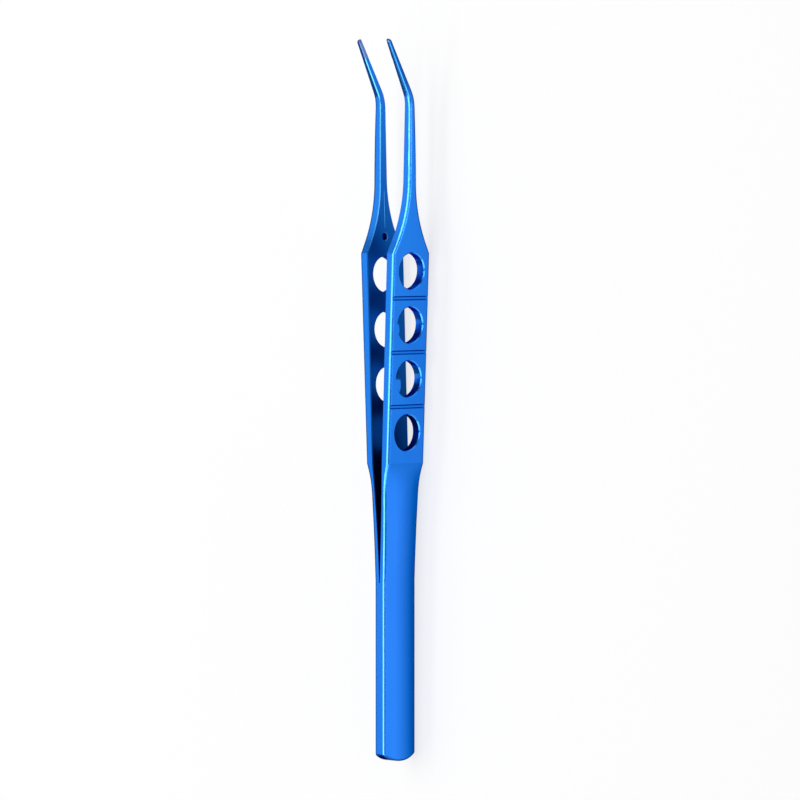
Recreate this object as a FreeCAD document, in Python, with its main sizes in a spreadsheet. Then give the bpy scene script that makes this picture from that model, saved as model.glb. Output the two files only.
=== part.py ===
import FreeCAD, Part
import math
import os
import Sketcher

# Ophthalmic tissue forceps, blue anodised titanium, in millimetres.
# While it is modelled, X is the way the arms open, Y runs from the tail to
# the tips and Z is the width, with the tips bent towards +Z. At the end it is
# laid on its lower edges, with its origin under the middle of its box.

SIZES = [
    ("overrun", 1.0, "how far a cutting shape runs past the part"),
    ("margin", 0.01, "how far a cutting shape runs past a flat side it keeps"),
    ("handle_length", 27.45, "tail end to the end of the slit"),
    ("handle_half_width", 3.48, "half width of the handle"),
    ("handle_flat_half", 0.61, "half thickness of the flat on each side"),
    ("handle_crown", 1.46, "half thickness at the middle of the crowned faces"),
    ("handle_corner", 0.46, "corner radius between flat and crowned face"),
    ("tail_bow", 1.00, "how far the tail end bows out at its middle"),
    ("tail_round", 0.40, "edge round of the tail end"),
    ("slit_end_radius", 0.11, "round end of the slit"),
    ("slit_half_gap", 0.055, "half gap of the closed arms at the slit end"),
    ("slit_end_chamfer", 0.02, "inner edge chamfer at the slit end"),
    ("leaf_length", 18.1, "slit end to the start of the thumb plate"),
    ("ramp_length", 4.4, "run of the ramp between leaf and thumb plate"),
    ("plate_length", 32.1, "length of the thumb plate up to its shoulder"),
    ("plate_half_width", 4.03, "half width of the thumb plate"),
    ("plate_outer_low", 1.74, "outer face at the start of the plate, closed"),
    ("plate_outer_high", 1.91, "outer face at the shoulder, closed"),
    ("closed_half_gap", 0.30, "half gap between the closed plates"),
    ("edge_round", 0.49, "round along the outer edges"),
    ("edge_chamfer", 0.12, "chamfer along the inner edges"),
    ("plate_past", 0.8, "run of the plate's outer slope past the shoulder"),
    ("flare_angle", 27.5, "slope of the shoulder in degrees"),
    ("flare_radius", 19.4, "concave radius between shoulder and shank"),
    ("shank_length", 23.5, "shoulder to the point of the bend"),
    ("shank_half_width", 0.59, "half width of the shank at the bend"),
    ("shank_taper", 1.0, "angle in degrees by which the shank widens"),
    ("shank_outer", 1.33, "outer face at the bend, closed"),
    ("shank_inner", 0.05, "inner face at the bend, closed"),
    ("shank_drop_length", 12.6, "run over which the inner face closes in"),
    ("bend_angle", 28.0, "bend of the tips in degrees"),
    ("bend_radius", 5.0, "radius of the bend"),
    ("tip_length", 10.2, "point of the bend to the tip end"),
    ("tip_half_width", 0.31, "half width at the tip end"),
    ("tip_thickness", 0.63, "thickness at the tip end"),
    ("tip_round", 0.27, "round along the outer edges at the tip end"),
    ("tip_chamfer", 0.10, "chamfer of the inner edges at the tip end"),
    ("tip_end_length", 0.42, "length over which the tip end is rounded off"),
    ("platform_length", 3.2, "length of the tying platform"),
    ("platform_half_gap", 0.015, "half gap between the closed platforms"),
    ("serration_pitch", 0.30, "spacing of the fine grooves of the platform"),
    ("serration_depth", 0.05, "depth of the fine grooves"),
    ("serration_margin", 0.36, "first fine groove to the platform's ends"),
    ("hole_diameter", 5.5, "grip hole"),
    ("hole_rim", 0.15, "chamfer of the outer rims of the grip holes"),
    ("inner_rim", 0.10, "chamfer of the inner rims of the grip holes"),
    ("hole_pitch", 8.22, "spacing of the grip holes"),
    ("first_hole", 4.75, "start of the plate to the lowest hole, right arm"),
    ("left_hole_pitch", 8.42, "spacing of the grip holes of the left arm"),
    ("left_first_hole", 12.0, "start of the plate to the lowest hole, left arm"),
    ("first_groove", 8.75, "start of the plate to the lowest groove"),
    ("groove_pitch", 8.27, "spacing of the grooves across the plates"),
    ("groove_floor", 0.30, "width of a groove's floor, its walls lean 45 degrees"),
    ("groove_depth", 0.20, "depth of a groove"),
    ("guide_height", 2.5, "shoulder to the guide pin and its hole"),
    ("guide_hole_diameter", 1.10, "guide hole in the left arm"),
    ("guide_hole_depth", 0.90, "depth of the guide hole"),
    ("guide_rim", 0.12, "chamfer of the guide hole"),
    ("pin_diameter", 0.90, "guide pin"),
    ("pin_socket", 0.80, "depth of the pin in the right arm"),
    ("pin_reach", 0.65, "how far the closed pin enters the guide hole"),
    ("pin_tip_round", 0.20, "round of the pin's free end"),
    ("crease_length", 5.6, "length of the fine line on the inner face"),
    ("crease_start", 1.3, "guide hole to the start of the fine line"),
    ("crease_depth", 0.04, "depth of the fine line"),
    ("opening_angle", 1.94, "angle of each arm from closed to open in degrees"),
]

RIGHT_HOLES = 4
LEFT_HOLES = 3
GROOVES_PER_ARM = 3
LEAF_STATIONS = 4
RAMP_STATIONS = 3
BEND_STATIONS = 4
# Stations of the tip's rounded end, as shares of its length.
END_STATIONS = (0.0, 0.4, 0.7, 0.88, 0.97)
# A face that is crowned by less than this is drawn flat.
LEAST_CROWN = 0.002
# Places nearer to each other than this are taken as the same place.
CLOSE = 0.001
# An edge shorter than this along the arm is no edge of its length.
SHORT = 0.1

document = FreeCAD.newDocument("Forceps")
sheet = document.addObject("Spreadsheet::Sheet", "Sizes")
for row, (alias, size, note) in enumerate(SIZES, start=1):
    sheet.set("A%d" % row, alias)
    sheet.set("B%d" % row, str(size))
    sheet.set("C%d" % row, note)
    sheet.setAlias("B%d" % row, alias)
document.recompute()


def value(expression):
    """A number worked out from the cells of the sheet."""
    return float(sheet.evalExpression(expression))


def cell(alias):
    """How another object's expression names a cell."""
    return "Sizes." + alias


# Places along the arm, as expressions of the cells.
PLATE_START = "(Sizes.handle_length + Sizes.leaf_length)"
SHOULDER = "(" + PLATE_START + " + Sizes.plate_length)"
BEND_POINT = "(" + SHOULDER + " + Sizes.shank_length)"
BEND_START = "(" + BEND_POINT + " - Sizes.bend_radius * tan(Sizes.bend_angle * 1deg / 2))"
GUIDE_Y = "(" + SHOULDER + " + Sizes.guide_height)"


def number(expression):
    """A number worked out from an expression that names cells with Sizes."""
    return value(expression.replace("Sizes.", ""))


def bind(owner, **bindings):
    """Bind properties of an object to expressions of the cells."""
    for name, expression in bindings.items():
        owner.setExpression(name, expression)


def new_sketch(body, role, name):
    """An empty sketch on one of the body's own origin planes."""
    sketch = body.newObject("Sketcher::SketchObject", name)
    plane = [item for item in body.Origin.OriginFeatures if item.Role == role][0]
    sketch.AttachmentSupport = [(plane, "")]
    sketch.MapMode = "FlatFace"
    return sketch


def arc_between(start, end, radius, turn):
    """Arc from start to end, bending left for turn +1 and right for -1."""
    chord = end - start
    middle = (start + end) * 0.5
    height = math.sqrt(radius ** 2 - (chord.Length / 2) ** 2)
    side = FreeCAD.Vector(-chord.y, chord.x, 0) / chord.Length
    center = middle + side * (height * turn)
    first = math.atan2(start.y - center.y, start.x - center.x)
    last = math.atan2(end.y - center.y, end.x - center.x)
    if turn < 0:
        first, last = last, first
    while last < first:
        last += 2 * math.pi
    circle = Part.Circle(center, FreeCAD.Vector(0, 0, 1), radius)
    return Part.ArcOfCircle(circle, first, last)


def draw_profile(sketch, corners):
    """Closed profile. A corner is x, y and, for an arc to the next corner, its
    radius and the side it bends to. Every number is an expression."""
    points = [FreeCAD.Vector(number(corner[0]), number(corner[1]), 0) for corner in corners]
    edges = []
    for index, corner in enumerate(corners):
        start = points[index]
        end = points[(index + 1) % len(points)]
        if len(corner) == 2:
            edge = sketch.addGeometry(Part.LineSegment(start, end), False)
            edges.append((edge, 1, 2))
        else:
            arc = arc_between(start, end, number(corner[2]), corner[3])
            edge = sketch.addGeometry(arc, False)
            edges.append((edge, 1, 2) if corner[3] > 0 else (edge, 2, 1))
    for index, corner in enumerate(corners):
        edge, first, last = edges[index]
        following, next_first, next_last = edges[(index + 1) % len(edges)]
        sketch.addConstraint(Sketcher.Constraint("Coincident", edge, last, following, next_first))
        for axis, expression in (("X", corner[0]), ("Y", corner[1])):
            place = getattr(points[index], axis.lower())
            rule = Sketcher.Constraint("Distance" + axis, -1, 1, edge, first, place)
            position = sketch.addConstraint(rule)
            sketch.setExpression("Constraints[%d]" % position, expression)
        if len(corner) > 2:
            rule = Sketcher.Constraint("Radius", edge, number(corner[2]))
            position = sketch.addConstraint(rule)
            sketch.setExpression("Constraints[%d]" % position, corner[2])


def pad(body, sketch, length, reverse=False):
    feature = body.newObject("PartDesign::Pad", sketch.Name + "Pad")
    feature.Profile = sketch
    feature.setExpression("Length", length)
    feature.Reversed = reverse
    document.recompute()
    return feature


def cut_through(body, sketch):
    """Pocket through the whole body, both ways from the sketch."""
    before = body.Shape.Volume
    feature = body.newObject("PartDesign::Pocket", sketch.Name + "Pocket")
    feature.Profile = sketch
    feature.Type = "ThroughAll"
    feature.Midplane = True
    document.recompute()
    if feature.Shape.Volume >= before:
        raise RuntimeError(sketch.Name + " cuts nothing")
    return feature


def dress(body, kind, name, size, alias, wanted):
    """Round or chamfer the edges for which the test holds at their middle."""
    base = body.Tip
    names = []
    for index, edge in enumerate(base.Shape.Edges, start=1):
        middle = edge.valueAt((edge.FirstParameter + edge.LastParameter) / 2)
        if wanted(edge, middle):
            names.append("Edge%d" % index)
    feature = body.newObject(kind, name)
    feature.Base = (base, names)
    feature.setExpression(size, cell(alias))
    document.recompute()


def handle_corners():
    """Section of the handle, its crowned faces tangent to its corner rounds."""
    half = "Sizes.handle_half_width"
    flat = "Sizes.handle_flat_half"
    corner = "Sizes.handle_corner"
    rise = "(Sizes.handle_crown - Sizes.handle_flat_half)"
    reach = "(Sizes.handle_half_width - Sizes.handle_corner)"
    crown = "((%s^2 + %s^2 - %s^2) / (2 * (%s - %s)))" % (reach, rise, corner, rise, corner)
    share = "(%s / (%s - %s))" % (crown, crown, corner)
    meet_x = "(Sizes.handle_crown - %s + %s * (%s - %s))" % (crown, share, crown, rise)
    meet_z = "(%s * %s)" % (share, reach)
    return [
        (flat, half, corner, -1),
        (meet_x, meet_z, crown, -1),
        (meet_x, "-" + meet_z, corner, -1),
        (flat, "-" + half),
        ("-" + flat, "-" + half, corner, -1),
        ("-" + meet_x, "-" + meet_z, crown, -1),
        ("-" + meet_x, meet_z, corner, -1),
        ("-" + flat, half),
    ]


def build_handle():
    """Solid tail bar: side flats, crowned faces, bowed end, end of the slit."""
    body = document.addObject("PartDesign::Body", "Handle")
    section = new_sketch(body, "XZ_Plane", "HandleSection")
    draw_profile(section, handle_corners())
    pad(body, section, "Sizes.handle_length", reverse=True)

    half = "(Sizes.handle_half_width + Sizes.margin)"
    bow = "Sizes.tail_bow"
    radius = "((%s^2 + %s^2) / (2 * %s))" % (half, bow, bow)
    end = new_sketch(body, "YZ_Plane", "TailEnd")
    draw_profile(end, [
        (bow, "-" + half, radius, -1),
        (bow, half),
        ("-Sizes.overrun", half),
        ("-Sizes.overrun", "-" + half),
    ])
    cut_through(body, end)

    slit = new_sketch(body, "XY_Plane", "SlitEnd")
    length = value("handle_length")
    radius = value("slit_end_radius")
    centre = FreeCAD.Vector(0, length, 0)
    circle = slit.addGeometry(Part.Circle(centre, FreeCAD.Vector(0, 0, 1), radius), False)
    slit.addConstraint(Sketcher.Constraint("PointOnObject", circle, 3, -2))
    place = slit.addConstraint(Sketcher.Constraint("DistanceY", -1, 1, circle, 3, length))
    slit.setExpression("Constraints[%d]" % place, "Sizes.handle_length")
    size = slit.addConstraint(Sketcher.Constraint("Radius", circle, radius))
    slit.setExpression("Constraints[%d]" % size, "Sizes.slit_end_radius")
    cut_through(body, slit)

    bow_end = number(bow) + 2 * value("margin")
    dress(body, "PartDesign::Fillet", "TailRound", "Radius", "tail_round",
          lambda edge, middle: edge.BoundBox.YMax < bow_end)
    return body


def arm_section(inner, outer, edge, half_width, corner, chamfer, place):
    """Section of an arm: flat inside with chamfered edges, flat sides, and a
    flat or crowned outer face with round corners."""
    rise = outer - edge
    reach = half_width - corner
    crowned = rise - corner > LEAST_CROWN
    if crowned:
        crown = (reach ** 2 + rise ** 2 - corner ** 2) / (2 * (rise - corner))
        share = crown / (crown - corner)
        meet = (outer - crown + share * (crown - rise), share * reach)
    else:
        meet = (outer, reach)
    angle = math.atan2(meet[0] - edge, meet[1] - reach) / 2
    round_middle = (edge + corner * math.sin(angle), reach + corner * math.cos(angle))

    def point(x, z):
        return place.multVec(FreeCAD.Vector(x, 0, z))

    def line(first, last):
        return Part.makeLine(point(*first), point(*last))

    def arc(first, middle, last):
        return Part.Arc(point(*first), point(*middle), point(*last)).toShape()

    def below(pair):
        return (pair[0], -pair[1])

    inside = (inner, half_width - chamfer)
    side = (inner + chamfer, half_width)
    top = (edge, half_width)
    outer_face = line(meet, below(meet))
    if crowned:
        outer_face = arc(meet, (outer, 0), below(meet))
    return Part.Wire([
        line(below(inside), inside),
        line(inside, side),
        line(side, top),
        arc(top, round_middle, meet),
        outer_face,
        arc(below(meet), below(round_middle), below(top)),
        line(below(top), below(side)),
        line(below(side), below(inside)),
    ])


def level(y):
    """Place of a section at a station of the straight arm."""
    return FreeCAD.Placement(FreeCAD.Vector(0, y, 0), FreeCAD.Rotation())


def leaf_section(y):
    """Section of the spring leaf, from the handle's own section at the slit to
    the plate's at the end of the ramp."""
    start = value("handle_length")
    along = (y - start) / value("leaf_length")
    share = max(along, 0) ** 2
    ramp_start = start + value("leaf_length") - value("ramp_length")
    ramp = max((y - ramp_start) / value("ramp_length"), 0) ** 2

    def blend(first, last, amount):
        return first + (last - first) * amount

    corner = blend(value("handle_corner"), value("edge_round"), ramp)
    plate_edge = value("plate_outer_low") - value("edge_round")
    return arm_section(
        inner=blend(value("slit_half_gap"), value("closed_half_gap"), share),
        outer=blend(value("handle_crown"), value("plate_outer_low"), ramp),
        edge=blend(value("handle_flat_half"), plate_edge, ramp),
        half_width=blend(value("handle_half_width"), value("plate_half_width"), share),
        corner=corner,
        chamfer=blend(value("slit_end_chamfer"), value("edge_chamfer"), max(along, 0)),
        place=level(y))


def build_leaf():
    """Spring leaf and ramp, lofted, with its foot cut to seat on the handle
    when the arm is open."""
    start = value("handle_length")
    ramp_start = start + value("leaf_length") - value("ramp_length")
    foot = start - value("overrun")
    step = (ramp_start - start) / LEAF_STATIONS
    stations = [foot] + [start + step * count for count in range(LEAF_STATIONS)]
    step = value("ramp_length") / RAMP_STATIONS
    stations += [ramp_start + step * count for count in range(RAMP_STATIONS + 1)]
    blank = Part.makeLoft([leaf_section(y) for y in stations], True, False)

    reach = value("plate_half_width") + value("overrun")
    low = FreeCAD.Vector(-reach, -reach, -reach)
    seat = Part.makeBox(2 * reach, reach, 2 * reach, low)
    turn = FreeCAD.Rotation(FreeCAD.Vector(0, 0, 1), value("opening_angle"))
    seat.Placement = FreeCAD.Placement(FreeCAD.Vector(0, start, 0), turn)
    leaf = document.addObject("Part::Feature", "Leaf")
    leaf.Shape = blank.cut(seat)
    return leaf


def blade_outline():
    """Front outline of plate, shoulder and shank, above and below the axis."""
    slope = "tan(Sizes.flare_angle * 1deg)"
    taper = "tan(Sizes.shank_taper * 1deg)"
    half = "Sizes.plate_half_width"
    shank = "Sizes.shank_half_width"
    run = "((%s - %s - Sizes.shank_length * %s) / (%s - %s))" % (half, shank, taper, slope, taper)
    tangent = "(Sizes.flare_radius * tan((Sizes.flare_angle - Sizes.shank_taper) * 1deg / 2))"
    corner_y = "(%s + %s)" % (SHOULDER, run)
    corner_z = "(%s - %s * %s)" % (half, run, slope)
    low_y = "(%s - %s * cos(Sizes.flare_angle * 1deg))" % (corner_y, tangent)
    low_z = "(%s + %s * sin(Sizes.flare_angle * 1deg))" % (corner_z, tangent)
    high_y = "(%s + %s * cos(Sizes.shank_taper * 1deg))" % (corner_y, tangent)
    high_z = "(%s - %s * sin(Sizes.shank_taper * 1deg))" % (corner_z, tangent)
    end_z = "(%s + (%s - %s) * %s)" % (shank, BEND_POINT, BEND_START, taper)
    radius = "Sizes.flare_radius"
    return [
        (PLATE_START, half),
        (SHOULDER, half),
        (low_y, low_z, radius, 1),
        (high_y, high_z),
        (BEND_START, end_z),
        (BEND_START, "-" + end_z),
        (high_y, "-" + high_z, radius, 1),
        (low_y, "-" + low_z),
        (SHOULDER, "-" + half),
        (PLATE_START, "-" + half),
    ]


def outer_arc():
    """Start, as x and y, and radius of the outer face's arc. It leaves the
    plate's own slope past the shoulder and ends at the shank's outer face."""
    lean = "((Sizes.plate_outer_high - Sizes.plate_outer_low) / Sizes.plate_length)"
    start = "(%s + Sizes.plate_past)" % SHOULDER
    outer = "(Sizes.plate_outer_high + %s * Sizes.plate_past)" % lean
    run = "(%s - %s)" % (BEND_START, start)
    fall = "(%s - Sizes.shank_outer)" % outer
    square = "(%s^2 + %s^2)" % (run, fall)
    radius = "(%s / (2 * (%s + %s * %s)) * sqrt(1 + %s^2))" % (square, fall, run, lean, lean)
    return outer, start, radius


def build_blade():
    """Thumb plate, flare and shank."""
    body = document.addObject("PartDesign::Body", "Blade")
    outline = new_sketch(body, "YZ_Plane", "BladeOutline")
    draw_profile(outline, blade_outline())
    pad(body, outline, "Sizes.plate_outer_high + Sizes.overrun")

    outside = "(Sizes.plate_outer_high + 2 * Sizes.overrun)"
    low = "(%s - Sizes.overrun)" % PLATE_START
    high = "(%s + Sizes.overrun)" % BEND_START
    face = new_sketch(body, "XY_Plane", "OuterFace")
    draw_profile(face, [
        ("Sizes.plate_outer_low", PLATE_START),
        outer_arc() + (1,),
        ("Sizes.shank_outer", BEND_START),
        ("Sizes.shank_outer", high),
        (outside, high),
        (outside, low),
        ("Sizes.plate_outer_low", low),
    ])
    cut_through(body, face)

    drop_start = "(%s - Sizes.shank_drop_length)" % BEND_POINT
    inside = new_sketch(body, "XY_Plane", "InnerFace")
    draw_profile(inside, [
        ("Sizes.closed_half_gap", low),
        ("Sizes.closed_half_gap", drop_start),
        ("Sizes.shank_inner", BEND_START),
        ("Sizes.shank_inner", high),
        ("-Sizes.overrun", high),
        ("-Sizes.overrun", low),
    ])
    cut_through(body, inside)

    start = number(PLATE_START) + CLOSE
    end = number(BEND_START) - CLOSE
    middle_x = (value("closed_half_gap") + value("shank_outer")) / 2

    def along(edge, middle):
        return abs(middle.z) > CLOSE and edge.BoundBox.YLength > SHORT

    def outer_edge(edge, middle):
        return along(edge, middle) and start < middle.y < end and middle.x > middle_x

    def inner_edge(edge, middle):
        return along(edge, middle) and start < middle.y < end and middle.x < middle_x

    dress(body, "PartDesign::Fillet", "OuterRound", "Radius", "edge_round", outer_edge)
    dress(body, "PartDesign::Chamfer", "InnerChamfer", "Size", "edge_chamfer", inner_edge)
    return body


def tip_place(run):
    """Place of a section of the tip, by its run from the start of the bend."""
    radius = value("bend_radius")
    bend = math.radians(value("bend_angle"))
    turned = min(run / radius, bend)
    rest = max(run - radius * bend, 0)
    y = number(BEND_START) + radius * math.sin(turned) + rest * math.cos(turned)
    z = radius * (1 - math.cos(turned)) + rest * math.sin(turned)
    turn = FreeCAD.Rotation(FreeCAD.Vector(1, 0, 0), math.degrees(turned))
    return FreeCAD.Placement(FreeCAD.Vector(0, y, z), turn)


def tip_run():
    """Run from the start of the bend to the tip end."""
    radius = value("bend_radius")
    bend = math.radians(value("bend_angle"))
    return radius * bend + value("tip_length") - radius * math.tan(bend / 2)


def tip_section(run, inner, shrink=1.0):
    """Section of the tip with its inner face at the given height. Its width,
    thickness and rounds narrow steadily."""
    share = run / tip_run()
    taper = math.tan(math.radians(value("shank_taper")))
    bend_half = value("bend_radius") * math.tan(math.radians(value("bend_angle")) / 2)
    start_width = value("shank_half_width") + taper * bend_half

    def narrow(first, last):
        return first + (last - first) * share

    outer = narrow(value("shank_outer"), value("platform_half_gap") + value("tip_thickness"))
    corner = narrow(value("edge_round"), value("tip_round"))
    thickness = (outer - inner) * shrink
    return arm_section(
        inner=inner,
        outer=inner + thickness,
        edge=inner + thickness - corner * shrink,
        half_width=narrow(start_width, value("tip_half_width")) * shrink,
        corner=corner * shrink,
        chamfer=narrow(value("edge_chamfer"), value("tip_chamfer")) * shrink,
        place=tip_place(run))


def build_tip():
    """Bent half round tip with its raised tying platform and rounded end."""
    whole = tip_run()
    bent = value("bend_radius") * math.radians(value("bend_angle"))
    platform = whole - value("platform_length")
    rounded = whole - value("tip_end_length")
    plain = value("shank_inner")
    raised = value("platform_half_gap")

    runs = [bent * count / BEND_STATIONS for count in range(BEND_STATIONS + 1)]
    bend = Part.makeLoft([tip_section(run, plain) for run in runs], True, False)
    runs = [bent, platform]
    neck = Part.makeLoft([tip_section(run, plain) for run in runs], True, True)
    runs = [platform, rounded]
    jaw = Part.makeLoft([tip_section(run, raised) for run in runs], True, True)
    ends = []
    for share in END_STATIONS:
        run = rounded + value("tip_end_length") * share
        ends.append(tip_section(run, raised, math.sqrt(1 - share ** 2)))
    end = Part.makeLoft(ends, True, False)
    tip = document.addObject("Part::Feature", "Tip")
    tip.Shape = bend.fuse([neck, jaw, end]).removeSplitter()
    return tip


def hole_cutters(side, holes, first, pitch):
    """Grip holes with chamfered rims, for side +1 right and -1 left."""
    cutters = []
    across = FreeCAD.Rotation(FreeCAD.Vector(0, 1, 0), 90 * side)
    lean = "((Sizes.plate_outer_high - Sizes.plate_outer_low) / Sizes.plate_length)"
    radius = "Sizes.hole_diameter / 2"
    for count in range(holes):
        along = "(%s + %s * %d)" % (cell(first), cell(pitch), count)
        place_y = "%s + %s" % (PLATE_START, along)
        outer = "(Sizes.plate_outer_low + %s * %s)" % (lean, along)
        bore = document.addObject("Part::Cylinder", "GripHole")
        bind(bore, Radius=radius, Height="Sizes.plate_outer_high + Sizes.overrun")
        inner_rim = document.addObject("Part::Cone", "InnerRim")
        bind(inner_rim, Radius1=radius + " + Sizes.inner_rim", Radius2=radius,
             Height=cell("inner_rim"))
        outer_rim = document.addObject("Part::Cone", "OuterRim")
        bind(outer_rim, Radius1=radius, Radius2=radius + " + 2 * Sizes.hole_rim",
             Height="2 * Sizes.hole_rim")
        places = [(bore, "0"), (inner_rim, "Sizes.closed_half_gap")]
        places.append((outer_rim, outer + " - Sizes.hole_rim"))
        for cutter, place_x in places:
            cutter.Placement = FreeCAD.Placement(FreeCAD.Vector(), across)
            cutter.setExpression("Placement.Base.x", "%d * (%s)" % (side, place_x))
            cutter.setExpression("Placement.Base.y", place_y)
            cutters.append(cutter)
    return cutters


def groove_cutters(side):
    """Transverse grooves between the holes, with sloped walls."""
    cutters = []
    half = "Sizes.groove_floor / 2"
    rise = "(2 * Sizes.groove_depth)"
    reach = "(Sizes.plate_half_width + Sizes.overrun)"
    across = FreeCAD.Rotation(FreeCAD.Vector(0, 0, 1), -90 * side)
    lean = "((Sizes.plate_outer_high - Sizes.plate_outer_low) / Sizes.plate_length)"
    for count in range(GROOVES_PER_ARM):
        along = "(Sizes.first_groove + Sizes.groove_pitch * %d)" % count
        floor = "(Sizes.plate_outer_low + %s * %s - Sizes.groove_depth)" % (lean, along)
        groove = document.addObject("Part::Wedge", "Groove")
        bind(groove, Ymin="0", Ymax=rise)
        bind(groove, Xmin="-" + half, Xmax=half)
        bind(groove, X2min="-%s - %s" % (half, rise), X2max="%s + %s" % (half, rise))
        bind(groove, Zmin="-" + reach, Zmax=reach, Z2min="-" + reach, Z2max=reach)
        groove.Placement = FreeCAD.Placement(FreeCAD.Vector(), across)
        groove.setExpression("Placement.Base.x", "%d * (%s)" % (side, floor))
        groove.setExpression("Placement.Base.y", "%s + %s" % (PLATE_START, along))
        cutters.append(groove)
    return cutters


def ridge_cutter(name, depth, length, place):
    """A bar on its corner that cuts a right-angled V of the given depth. It
    lies along its own Z from its placed end."""
    bar = document.addObject("Part::Box", name)
    side = "%s * 2" % depth
    bind(bar, Length=side, Width=side, Height=length)
    reach = number(side) / 2 * math.sqrt(2)
    corner = FreeCAD.Placement(FreeCAD.Vector(number(depth) - reach, 0, 0), FreeCAD.Rotation())
    turn = FreeCAD.Placement(FreeCAD.Vector(), FreeCAD.Rotation(FreeCAD.Vector(0, 0, 1), 45))
    centre = FreeCAD.Placement(FreeCAD.Vector(-number(side) / 2, -number(side) / 2, 0), FreeCAD.Rotation())
    bar.Placement = place.multiply(corner).multiply(turn).multiply(centre)
    return bar


def serration_cutters(side):
    """Fine grooves across the tying platform."""
    cutters = []
    span = value("platform_length") - 2 * value("serration_margin")
    count = int(round(span / value("serration_pitch"))) + 1
    reach = value("shank_half_width") + value("overrun")
    first = tip_run() - value("platform_length") + value("serration_margin")
    for index in range(count):
        place = tip_place(first + index * value("serration_pitch"))
        mirror = FreeCAD.Rotation(FreeCAD.Vector(0, 0, 1), 0 if side > 0 else 180)
        face = FreeCAD.Vector(side * value("platform_half_gap"), 0, -reach)
        local = FreeCAD.Placement(face, mirror)
        length = "2 * (Sizes.shank_half_width + Sizes.overrun)"
        cutters.append(ridge_cutter("Serration", cell("serration_depth"), length,
                                    place.multiply(local)))
    return cutters


def crease_cutter(side):
    """Fine line on the inner face above the guide pin."""
    lying = FreeCAD.Rotation(FreeCAD.Vector(1, 0, 0), -90)
    mirror = FreeCAD.Rotation(FreeCAD.Vector(0, 0, 1), 0 if side > 0 else 180)
    start = number(GUIDE_Y) + value("crease_start")
    face = FreeCAD.Vector(side * value("closed_half_gap"), start, 0)
    place = FreeCAD.Placement(face, lying.multiply(mirror))
    return ridge_cutter("Crease", cell("crease_depth"), cell("crease_length"), place)


def guide_cutter(side, diameter, depth):
    """Blind bore from the inner face, for the pin or for its socket."""
    bore = document.addObject("Part::Cylinder", "GuideBore")
    bind(bore, Radius=cell(diameter) + " / 2", Height=cell(depth) + " + Sizes.closed_half_gap")
    across = FreeCAD.Rotation(FreeCAD.Vector(0, 1, 0), 90 * side)
    bore.Placement = FreeCAD.Placement(FreeCAD.Vector(), across)
    bore.setExpression("Placement.Base.y", GUIDE_Y)
    return bore


def guide_rim_cutter(side):
    """Chamfer around the mouth of the guide hole."""
    rim = document.addObject("Part::Cone", "GuideRim")
    radius = "Sizes.guide_hole_diameter / 2"
    bind(rim, Radius1=radius + " + Sizes.guide_rim", Radius2=radius, Height=cell("guide_rim"))
    rim.Placement.Rotation = FreeCAD.Rotation(FreeCAD.Vector(0, 1, 0), 90 * side)
    rim.setExpression("Placement.Base.x", "%d * Sizes.closed_half_gap" % side)
    rim.setExpression("Placement.Base.y", GUIDE_Y)
    return rim


def build_pin():
    """Guide pin with a rounded free end, seated in the right arm."""
    body = document.addObject("PartDesign::Body", "GuidePin")
    section = new_sketch(body, "XY_Plane", "PinSection")
    free_end = "(-(Sizes.closed_half_gap + Sizes.pin_reach))"
    seat = "(Sizes.closed_half_gap + Sizes.pin_socket)"
    radius = "(Sizes.pin_diameter / 2)"
    draw_profile(section, [
        (free_end, GUIDE_Y),
        (seat, GUIDE_Y),
        (seat, "%s + %s" % (GUIDE_Y, radius)),
        (free_end + " + Sizes.pin_tip_round", "%s + %s" % (GUIDE_Y, radius),
         "Sizes.pin_tip_round", 1),
        (free_end, "%s + %s - Sizes.pin_tip_round" % (GUIDE_Y, radius)),
    ])
    turned = body.newObject("PartDesign::Revolution", "PinTurned")
    turned.Profile = section
    turned.ReferenceAxis = (section, ["Edge1"])
    turned.Angle = 360
    document.recompute()
    return body


def cut_arm(label, blank, cutters):
    """An arm with all its holes and grooves cut from its blank."""
    tools = document.addObject("Part::MultiFuse", label.title().replace("_", "") + "Cutters")
    tools.Shapes = cutters
    arm = document.addObject("Part::Cut", label.title().replace("_", ""))
    arm.Base = blank
    arm.Tool = tools
    return arm


def lay_down(parts):
    """Open the arms, lay the part on its lower edges and put the origin under
    the middle of its box."""
    root = FreeCAD.Vector(0, value("handle_length"), 0)
    rise = value("plate_half_width") - value("handle_half_width")
    run = number(PLATE_START) - value("tail_bow") - value("tail_round")
    tilt = math.degrees(math.atan2(rise, run))
    tilted = FreeCAD.Rotation(FreeCAD.Vector(1, 0, 0), tilt)
    lean = FreeCAD.Placement(FreeCAD.Vector(), tilted)
    angle = value("opening_angle")
    turns = {"handle": 0, "right_arm": -angle, "guide_pin": -angle, "left_arm": angle}
    for label, part in parts.items():
        turn = FreeCAD.Rotation(FreeCAD.Vector(0, 0, 1), turns[label])
        opened = FreeCAD.Placement(FreeCAD.Vector(), turn, root)
        part.Placement = lean.multiply(opened)
    document.recompute()
    box = FreeCAD.BoundBox()
    for part in parts.values():
        box.add(part.Shape.optimalBoundingBox(False, False))
    shift = FreeCAD.Vector(-box.Center.x, -box.Center.y, -box.ZMin)
    for part in parts.values():
        place = part.Placement
        place.move(shift)
        part.Placement = place
    document.recompute()
    return shift


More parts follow.
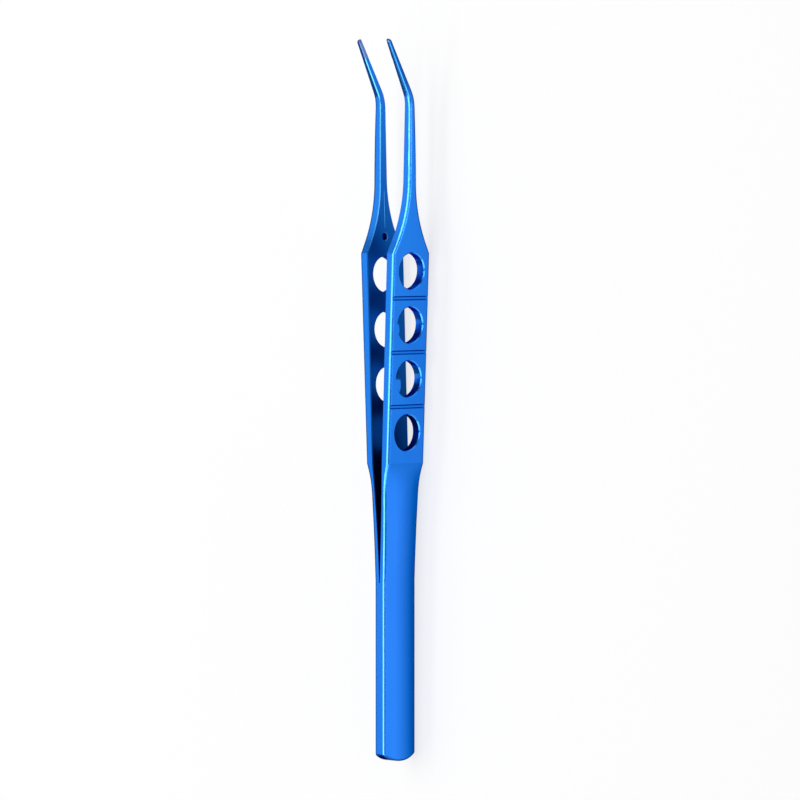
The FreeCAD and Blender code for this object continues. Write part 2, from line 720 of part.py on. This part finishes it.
def main():
    handle = build_handle()
    leaf = build_leaf()
    blade = build_blade()
    tip = build_tip()
    blank = document.addObject("Part::MultiFuse", "ArmBlank")
    blank.Shapes = [leaf, blade, tip]
    mirrored = document.addObject("Part::Mirroring", "LeftBlank")
    mirrored.Source = blank
    mirrored.Normal = FreeCAD.Vector(1, 0, 0)
    cutters = hole_cutters(1, RIGHT_HOLES, "first_hole", "hole_pitch")
    cutters += groove_cutters(1) + serration_cutters(1) + [crease_cutter(1)]
    cutters.append(guide_cutter(1, "pin_diameter", "pin_socket"))
    right = cut_arm("right_arm", blank, cutters)
    cutters = hole_cutters(-1, LEFT_HOLES, "left_first_hole", "left_hole_pitch")
    cutters += groove_cutters(-1) + serration_cutters(-1) + [crease_cutter(-1)]
    cutters.append(guide_cutter(-1, "guide_hole_diameter", "guide_hole_depth"))
    cutters.append(guide_rim_cutter(-1))
    left = cut_arm("left_arm", mirrored, cutters)
    pin = build_pin()
    document.recompute()

    parts = {"handle": handle, "left_arm": left, "right_arm": right, "guide_pin": pin}
    for label, part in parts.items():
        part.Label = label
    shift = lay_down(parts)

    for item in document.Objects:
        if "Invalid" in item.State or "Error" in item.State:
            raise RuntimeError("%s failed: %s" % (item.Name, item.State))
    os.makedirs("parts", exist_ok=True)
    for label, part in parts.items():
        shape = part.Shape
        if shape.isNull() or not shape.isValid() or len(shape.Solids) != 1:
            raise RuntimeError("%s is not one valid solid" % label)
        shape.exportStep(os.path.join("parts", label + ".step"))
        print("%s: %.1f cubic mm, box %s" % (label, shape.Volume, shape.BoundBox))
    print("origin moved by", shift)


main()
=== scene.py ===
import math

import bpy
from mathutils import Matrix, Vector

# The row's frame is in metres: the forceps lie on z = 0 with their tips
# towards +Y, and the right arm is on the +X side.
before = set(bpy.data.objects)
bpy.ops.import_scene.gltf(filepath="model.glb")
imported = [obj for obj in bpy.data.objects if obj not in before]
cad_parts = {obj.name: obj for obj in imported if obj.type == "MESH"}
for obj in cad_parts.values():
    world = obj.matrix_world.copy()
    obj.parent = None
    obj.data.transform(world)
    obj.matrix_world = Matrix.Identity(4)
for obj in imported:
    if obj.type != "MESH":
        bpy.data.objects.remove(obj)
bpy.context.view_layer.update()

# The tail bar's long axis: the middle of its tail end, and how far it leans,
# because the thumb plates it rests on are wider than the bar.
TAIL = Vector((0, -0.055034, 0.0034646))
LEAN = math.radians(0.7138)
ALONG = Vector((0, math.cos(LEAN), math.sin(LEAN)))
WIDTHWAYS = Vector((0, -math.sin(LEAN), math.cos(LEAN)))
OPENING = Vector((1, 0, 0))

# The bend of the tips: its angle, and how far it is from the tail end.
BEND = math.radians(28.0)
BEND_RUN = 0.10115
BEND_POINT = TAIL + ALONG * BEND_RUN
TIP_WAY = math.cos(BEND) * ALONG + math.sin(BEND) * WIDTHWAYS

# Lengths from the bend: out along the tips to the platforms and to the tips'
# ends, and back along the arms to the ends of the shanks, plates and ramps.
PLATFORM_RUN = 0.0070
TIP_RUN = 0.0102
SHANK_LENGTH = 0.0235
PLATE_LENGTH = 0.0556
RAMP_LENGTH = 0.0596

# The photograph's view: 800 by 800 pixels, upright, along the tail bar.
IMAGE_WIDTH = 800
IMAGE_MIDDLE = 399.5
PIXELS_PER_METRE = 6550
FOCAL_PIXELS = 6000
TAIL_PIXEL = (394.6, 760.9)
VIEW_TURN = math.radians(46.66)
VIEW_LIFT = math.radians(2.0)
SENSOR = 36.0

WHITE = (1, 1, 1, 1)
FLOOR_PAPER = (0.40, 0.40, 0.40, 1)
FLOOR_SIZE = 6.0
FLOOR_DROP = 0.00002
FLOOR_GLOW = 0.74

# The room's plain light, and its low white wall on the +X side. A range is
# two readings and the share at each of them.
ROOM_LIGHT = 0.20
WALL_BY_HEIGHT = (0.08, 0.20, 0.85, 0)
WALL_BY_SIDE = (-0.3, 0.3, 0, 1)

# The lamps lean round a line at this height, near the middle of the object.
LAMP_AXIS_HEIGHT = 0.004

# The anodised film. BLUE and CLEAR change in soft patches, with a VIOLET cast
# here and there. The light cyan is a painted highlight on the outer rounds and
# on the inner chamfers of the shanks. The deep blue is painted shade in nooks,
# on the underside, on the tail's end, on the outside of the tips, at the top of
# the ramps and between the arms, with the darkest blue next to the slit.
BLUE_FILM = (0.020, 0.235, 0.95, 1)
CLEAR_FILM = (0.027, 0.265, 1.00, 1)
VIOLET_FILM = (0.038, 0.205, 0.93, 1)
PAINTED_HIGHLIGHT = (0.12, 0.50, 1.00, 1)
PAINTED_SHADE = (0.006, 0.090, 0.36, 1)
PAINTED_SLIT_SHADE = (0.001, 0.016, 0.10, 1)
PLATFORM_FILM = (0.16, 0.27, 0.60, 1)
WORN_FILM = (0.07, 0.11, 0.26, 1)
GRAZING_TINT = (0.06, 0.03, 0.10, 1)

# Ranges of the noise that varies the film and, in SATIN, its roughness.
PATCHES = (0.35, 0.65, 0, 1)
VIOLET_CAST = (0.45, 0.75, 0, 0.45)
SATIN = (0.3, 0.7, 0.16, 0.22)

# Ranges of the normal's share of a direction, and of the space left open
# within NOOK_REACH.
ROUND_RISE = (0.20, 0.35, 0, 1)
ROUND_FALL = (0.60, 0.74, 1, 0)
UNDERSIDE = (0.12, -0.28, 0, 0.9)
TAIL_END = (0.1, 0.6, 0, 0.8)
INNER_FACE = (0.5, 0.7, 0, 1)
OUTER_FACE = (0.75, 0.95, 0, 0.9)
CHAMFER_RISE = (0.5, 0.6, 0, 1)
CHAMFER_FALL = (0.8, 0.9, 1, 0)
NOOKS = (0.95, 0.55, 0, 0.8)
NOOK_REACH = 0.003

# Ranges of the way from the bend along the arms, which is below zero towards
# the tail, and along the tips.
INNER_DEPTH = (-0.0255, 0, 1, 0.25)
NEAR_SLIT = (-0.062, -0.037, 1, 0)
SHANK = (-SHANK_LENGTH, 0.006 - SHANK_LENGTH, 0, 0.9)
RAMP_BAND = (-RAMP_LENGTH, -PLATE_LENGTH, 0, 0.22)
RAMP_TOP = (0.0001 - PLATE_LENGTH, -PLATE_LENGTH, 0, 1)
BENT_TIP = (-0.001, 0.003, 0, 1)
PLATFORM_START = (PLATFORM_RUN - 0.0001, PLATFORM_RUN + 0.0001, 0, 1)
WORN_END = (TIP_RUN - 0.0008, TIP_RUN - 0.0001, 0, 0.8)

# How much rougher the inner faces and the platforms are.
INNER_ROUGHER = 0.25
PLATFORM_ROUGHER = 0.12

# The pin's metal.
PIN_DARK = (0.50, 0.52, 0.56, 1)
PIN_LIGHT = (0.62, 0.64, 0.68, 1)
PIN_SHADES = (0.3, 0.7, 0, 1)
PIN_ROUGHNESS = (0.3, 0.7, 0.25, 0.4)


def linked(obj):
    bpy.context.scene.collection.objects.link(obj)
    return obj


def view_axes():
    """Right, up and back of the photograph's camera, in the row's frame."""
    level = math.cos(VIEW_TURN) * OPENING + math.sin(VIEW_TURN) * WIDTHWAYS
    right = math.sin(VIEW_TURN) * OPENING - math.cos(VIEW_TURN) * WIDTHWAYS
    back = math.cos(VIEW_LIFT) * level + math.sin(VIEW_LIFT) * ALONG
    return right, back.cross(right), back


def make_camera():
    right, up, back = view_axes()
    rise = (TAIL_PIXEL[1] - IMAGE_MIDDLE) / PIXELS_PER_METRE
    side = (TAIL_PIXEL[0] - IMAGE_MIDDLE) / PIXELS_PER_METRE
    aim = TAIL + ALONG * rise - right * side
    data = bpy.data.cameras.new("camera")
    data.sensor_width = SENSOR
    data.lens = SENSOR * FOCAL_PIXELS / IMAGE_WIDTH
    data.clip_start = 0.01
    data.clip_end = 20
    camera = linked(bpy.data.objects.new("camera", data))
    turn = Matrix((right, up, back)).transposed()
    camera.matrix_world = turn.to_4x4()
    camera.location = aim + back * (FOCAL_PIXELS / PIXELS_PER_METRE)
    bpy.context.scene.camera = camera


class Nodes:
    """A short way to write a node tree."""

    def __init__(self, tree):
        self.tree = tree
        self.tree.nodes.clear()

    def add(self, kind, **settings):
        """New node. A setting that is a dictionary goes to its sockets."""
        node = self.tree.nodes.new(kind)
        for name, setting in settings.items():
            if isinstance(setting, dict):
                for key, content in setting.items():
                    node.inputs[key].default_value = content
            else:
                setattr(node, name, setting)
        return node

    def link(self, source, target):
        self.tree.links.new(source, target)

    def math(self, operation, first, second):
        node = self.add("ShaderNodeMath", operation=operation)
        for socket, term in zip(node.inputs, (first, second)):
            if isinstance(term, (int, float)):
                socket.default_value = term
            else:
                self.link(term, socket)
        return node.outputs[0]

    def mix(self, amount, first, second):
        """Mix of two colours by an amount that is a socket."""
        node = self.add("ShaderNodeMix", data_type="RGBA")
        self.link(amount, node.inputs["Factor"])
        for name, term in (("A", first), ("B", second)):
            socket = [s for s in node.inputs if s.name == name and s.type == "RGBA"][0]
            if isinstance(term, tuple):
                socket.default_value = term
            else:
                self.link(term, socket)
        return [s for s in node.outputs if s.type == "RGBA"][0]

    def noise(self, place, scale, stretch=(1, 1, 1), detail=3.0, roughness=0.5):
        mapping = self.add("ShaderNodeMapping", inputs={"Scale": stretch})
        self.link(place, mapping.inputs["Vector"])
        texture = self.add("ShaderNodeTexNoise", inputs={
            "Scale": scale, "Detail": detail, "Roughness": roughness})
        self.link(mapping.outputs["Vector"], texture.inputs["Vector"])
        return texture.outputs["Fac"]

    def remap(self, source, from_low, from_high, to_low, to_high):
        node = self.add("ShaderNodeMapRange", inputs={
            "From Min": from_low, "From Max": from_high,
            "To Min": to_low, "To Max": to_high})
        self.link(source, node.inputs["Value"])
        return node.outputs["Result"]

    def between(self, source, rise, fall):
        """Share that rises and falls again as the source grows."""
        rising = self.remap(source, *rise)
        falling = self.remap(source, *fall)
        return self.math("MULTIPLY", rising, falling)

    def dot(self, source, direction):
        node = self.add("ShaderNodeVectorMath", operation="DOT_PRODUCT")
        self.link(source, node.inputs[0])
        node.inputs[1].default_value = direction
        return node.outputs["Value"]

    def away_from(self, source, point):
        node = self.add("ShaderNodeVectorMath", operation="SUBTRACT")
        self.link(source, node.inputs[0])
        node.inputs[1].default_value = point
        return node.outputs["Vector"]

    def bump(self, height, strength, distance):
        node = self.add("ShaderNodeBump", inputs={
            "Strength": strength, "Distance": distance})
        self.link(height, node.inputs["Height"])
        return node.outputs["Normal"]

    def output(self, kind, surface):
        node = self.add(kind)
        self.link(surface, node.inputs["Surface"])


def new_material(name):
    material = bpy.data.materials.new(name)
    material.use_nodes = True
    return material, Nodes(material.node_tree)


def plain_film(nodes, spot):
    """The blue of the flats, in soft patches that are longer along Y."""
    patches = nodes.noise(spot, scale=90, stretch=(1, 0.35, 1), detail=2.0)
    colour = nodes.mix(nodes.remap(patches, *PATCHES), BLUE_FILM, CLEAR_FILM)
    cast = nodes.noise(spot, scale=26, stretch=(1, 0.6, 1), detail=1.0)
    return nodes.mix(nodes.remap(cast, *VIOLET_CAST), colour, VIOLET_FILM)


def painted_highlights_and_shade(nodes, normal, colour):
    """Painted highlights on the outer rounds, painted shade on the underside and in
    nooks.
    """
    sideways = nodes.math("ABSOLUTE", nodes.dot(normal, OPENING), 0)
    # Painted highlight: the outer rounds turn light cyan where edge highlights fall.
    rounds = nodes.between(sideways, ROUND_RISE, ROUND_FALL)
    colour = nodes.mix(rounds, colour, PAINTED_HIGHLIGHT)
    # Painted shade: darker towards the underside, where less light falls.
    low = nodes.remap(nodes.dot(normal, WIDTHWAYS), *UNDERSIDE)
    colour = nodes.mix(low, colour, PAINTED_SHADE)
    # Painted shade in nooks, holes and grooves, from the ambient occlusion.
    open_space = nodes.add("ShaderNodeAmbientOcclusion", samples=8, only_local=True,
                           inputs={"Distance": NOOK_REACH})
    nook = nodes.remap(open_space.outputs["AO"], *NOOKS)
    return nodes.mix(nook, colour, PAINTED_SHADE)


def arm_film_and_painted_light(nodes, spot, normal, inward, colour, rough):
    """Colour and roughness of an arm whose inner face looks along inward, with painted
    shade between the arms, on the outside of the tips and at the top of the ramps, and
    painted highlights on the inner chamfers of the shanks.
    """
    from_bend = nodes.away_from(spot, BEND_POINT)
    along = nodes.dot(from_bend, ALONG)
    run = nodes.dot(from_bend, TIP_WAY)
    inner_share = nodes.dot(normal, inward)
    inner = nodes.remap(inner_share, *INNER_FACE)
    outer = nodes.remap(nodes.dot(normal, -Vector(inward)), *OUTER_FACE)

    # Painted shade on the inner faces between the arms, darkest next to the slit.
    within = nodes.math("MULTIPLY", inner, nodes.remap(along, *INNER_DEPTH))
    inner_painted_shade = nodes.mix(nodes.remap(along, *NEAR_SLIT), PAINTED_SHADE, PAINTED_SLIT_SHADE)
    colour = nodes.mix(within, colour, inner_painted_shade)
    rough = nodes.math("ADD", rough, nodes.math("MULTIPLY", within, INNER_ROUGHER))

    # Painted highlight on the inner chamfers of the shanks.
    chamfer = nodes.between(inner_share, CHAMFER_RISE, CHAMFER_FALL)
    chamfer = nodes.math("MULTIPLY", chamfer, nodes.remap(along, *SHANK))
    colour = nodes.mix(chamfer, colour, PAINTED_HIGHLIGHT)

    # Painted shade on the outside of the bent tips.
    tip_side = nodes.math("MULTIPLY", outer, nodes.remap(run, *BENT_TIP))
    colour = nodes.mix(tip_side, colour, PAINTED_SHADE)

    # Painted shade in a band at the top of each ramp, which draws its edge.
    ramp = nodes.math("MULTIPLY", outer, nodes.between(along, RAMP_BAND, RAMP_TOP))
    colour = nodes.mix(ramp, colour, PAINTED_SHADE)

    platform = nodes.math("MULTIPLY", nodes.remap(run, *PLATFORM_START), inner)
    colour = nodes.mix(platform, colour, PLATFORM_FILM)
    rough = nodes.math("ADD", rough, nodes.math("MULTIPLY", platform, PLATFORM_ROUGHER))

    worn = nodes.remap(run, *WORN_END)
    return nodes.mix(worn, colour, WORN_FILM), rough


def anodised(name, inward=None):
    """Satin blue anodised titanium with a fine drawn grain. The arms give the
    way that their inner faces look, and the bar doesn't."""
    material, nodes = new_material(name)
    place = nodes.add("ShaderNodeTexCoord")
    spot = place.outputs["Object"]
    normal = place.outputs["Normal"]
    shader = nodes.add("ShaderNodeBsdfPrincipled", inputs={
        "Metallic": 1.0, "Specular Tint": GRAZING_TINT})

    colour = painted_highlights_and_shade(nodes, normal, plain_film(nodes, spot))
    gloss = nodes.noise(spot, scale=240, stretch=(1, 0.2, 1), detail=4.0)
    rough = nodes.remap(gloss, *SATIN)
    if inward is None:
        # Painted shade on the tail's end.
        end = nodes.remap(nodes.dot(normal, -ALONG), *TAIL_END)
        colour = nodes.mix(end, colour, PAINTED_SHADE)
    else:
        colour, rough = arm_film_and_painted_light(nodes, spot, normal, inward, colour, rough)
    nodes.link(colour, shader.inputs["Base Color"])
    nodes.link(rough, shader.inputs["Roughness"])

    grain = nodes.noise(spot, scale=1500, stretch=(1, 0.06, 1), roughness=0.6)
    grain = nodes.bump(grain, strength=0.10, distance=0.00003)
    nodes.link(grain, shader.inputs["Normal"])
    nodes.output("ShaderNodeOutputMaterial", shader.outputs["BSDF"])
    return material


def turned_metal(name):
    """Plain metal with fine turning lines across the pin."""
    material, nodes = new_material(name)
    place = nodes.add("ShaderNodeTexCoord")
    spot = place.outputs["Object"]
    shader = nodes.add("ShaderNodeBsdfPrincipled", inputs={"Metallic": 1.0})
    shade = nodes.remap(nodes.noise(spot, scale=900), *PIN_SHADES)
    nodes.link(nodes.mix(shade, PIN_DARK, PIN_LIGHT), shader.inputs["Base Color"])
    gloss = nodes.noise(spot, scale=2500, stretch=(4, 1, 1), detail=2.0)
    nodes.link(nodes.remap(gloss, *PIN_ROUGHNESS), shader.inputs["Roughness"])
    lines = nodes.add("ShaderNodeTexWave", bands_direction="X", inputs={
        "Scale": 2500, "Distortion": 1.0, "Detail": 1.0})
    nodes.link(spot, lines.inputs["Vector"])
    lines = nodes.bump(lines.outputs["Fac"], strength=0.15, distance=0.00002)
    nodes.link(lines, shader.inputs["Normal"])
    nodes.output("ShaderNodeOutputMaterial", shader.outputs["BSDF"])
    return material


def seen_or_mirrored(nodes):
    """1 for what the camera sees, also in metal or through glass."""
    path = nodes.add("ShaderNodeLightPath")
    camera = path.outputs["Is Camera Ray"]
    seen = nodes.math("MAXIMUM", camera, path.outputs["Is Glossy Ray"])
    return nodes.math("MAXIMUM", seen, path.outputs["Is Transmission Ray"])


def make_floor():
    """Pale paper floor, a little lighter to the eye than the light makes it."""
    half = FLOOR_SIZE / 2
    mesh = bpy.data.meshes.new("floor")
    corners = [(-half, -half, 0), (half, -half, 0), (half, half, 0), (-half, half, 0)]
    mesh.from_pydata(corners, [], [(0, 1, 2, 3)])
    floor = linked(bpy.data.objects.new("floor", mesh))
    floor.location.z = -FLOOR_DROP
    material, nodes = new_material("floor")
    paper = nodes.add("ShaderNodeBsdfDiffuse", inputs={"Color": FLOOR_PAPER})
    glow = nodes.add("ShaderNodeEmission", inputs={"Color": WHITE})
    strength = nodes.math("MULTIPLY", seen_or_mirrored(nodes), FLOOR_GLOW)
    nodes.link(strength, glow.inputs["Strength"])
    both = nodes.add("ShaderNodeAddShader")
    nodes.link(paper.outputs["BSDF"], both.inputs[0])
    nodes.link(glow.outputs["Emission"], both.inputs[1])
    nodes.output("ShaderNodeOutputMaterial", both.outputs["Shader"])
    mesh.materials.append(material)


def make_world():
    """A dim room with a low white wall on the +X side."""
    world = bpy.data.worlds.new("studio")
    bpy.context.scene.world = world
    world.use_nodes = True
    nodes = Nodes(world.node_tree)
    way = nodes.add("ShaderNodeTexCoord")
    parts = nodes.add("ShaderNodeSeparateXYZ")
    nodes.link(way.outputs["Generated"], parts.inputs["Vector"])
    sky = nodes.add("ShaderNodeBackground", inputs={"Color": WHITE})
    height = nodes.remap(parts.outputs["Z"], *WALL_BY_HEIGHT)
    side = nodes.remap(parts.outputs["X"], *WALL_BY_SIDE)
    wall = nodes.math("MULTIPLY", height, side)
    nodes.link(nodes.math("ADD", wall, ROOM_LIGHT), sky.inputs["Strength"])
    nodes.output("ShaderNodeOutputWorld", sky.outputs["Background"])


def lamp(name, lean, distance, across, along, radiance, ahead=0.0, only_mirrored=False):
    """Soft box that is long along Y and leans by an angle in degrees from
    straight above the object towards +X, with the given radiance. One that is
    only mirrored shows as a reflection and lights nothing else."""
    data = bpy.data.lights.new(name, "AREA")
    data.shape = "RECTANGLE"
    data.size = across
    data.size_y = along
    data.energy = radiance * math.pi * across * along
    light = linked(bpy.data.objects.new(name, data))
    angle = math.radians(lean)
    back = Vector((math.sin(angle), 0, math.cos(angle)))
    up = Vector((0, 1, 0))
    turn = Matrix((up.cross(back), up, back)).transposed()
    light.matrix_world = turn.to_4x4()
    light.location = back * distance + Vector((0, ahead, LAMP_AXIS_HEIGHT))
    light.visible_camera = False
    if only_mirrored:
        light.visible_diffuse = False


def make_lamps():
    """The two strips above and the left box are at a plain level. The other
    four are brighter, for the highlights."""
    lamp("top_strip", lean=-4, distance=0.60, across=0.24, along=1.05,
         radiance=1.4, ahead=0.175)
    lamp("edge_strip", lean=9, distance=0.58, across=0.52, along=1.05,
         radiance=1.4, ahead=0.175, only_mirrored=True)
    lamp("tip_box", lean=55, distance=0.75, across=0.45, along=0.90,
         radiance=2.4, ahead=-0.65, only_mirrored=True)
    lamp("chamfer_strip", lean=46.7, distance=0.70, across=0.07, along=0.70,
         radiance=4.0, ahead=0.30, only_mirrored=True)
    lamp("key_box", lean=-28, distance=0.65, across=0.14, along=1.20,
         radiance=2.2)
    lamp("left_box", lean=-48, distance=0.70, across=0.28, along=0.90,
         radiance=0.66, ahead=0.15)
    lamp("low_strip", lean=83, distance=1.20, across=0.16, along=0.60,
         radiance=6.0, ahead=0.25)


make_camera()
make_floor()
make_world()
make_lamps()

finishes = {
    "handle": anodised("anodised_handle"),
    "left_arm": anodised("anodised_left", (1, 0, 0)),
    "right_arm": anodised("anodised_right", (-1, 0, 0)),
    "guide_pin": turned_metal("pin_metal"),
}
for name, material in finishes.items():
    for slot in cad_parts[name].material_slots:
        slot.material = material

bpy.context.scene.view_settings.view_transform = "Standard"
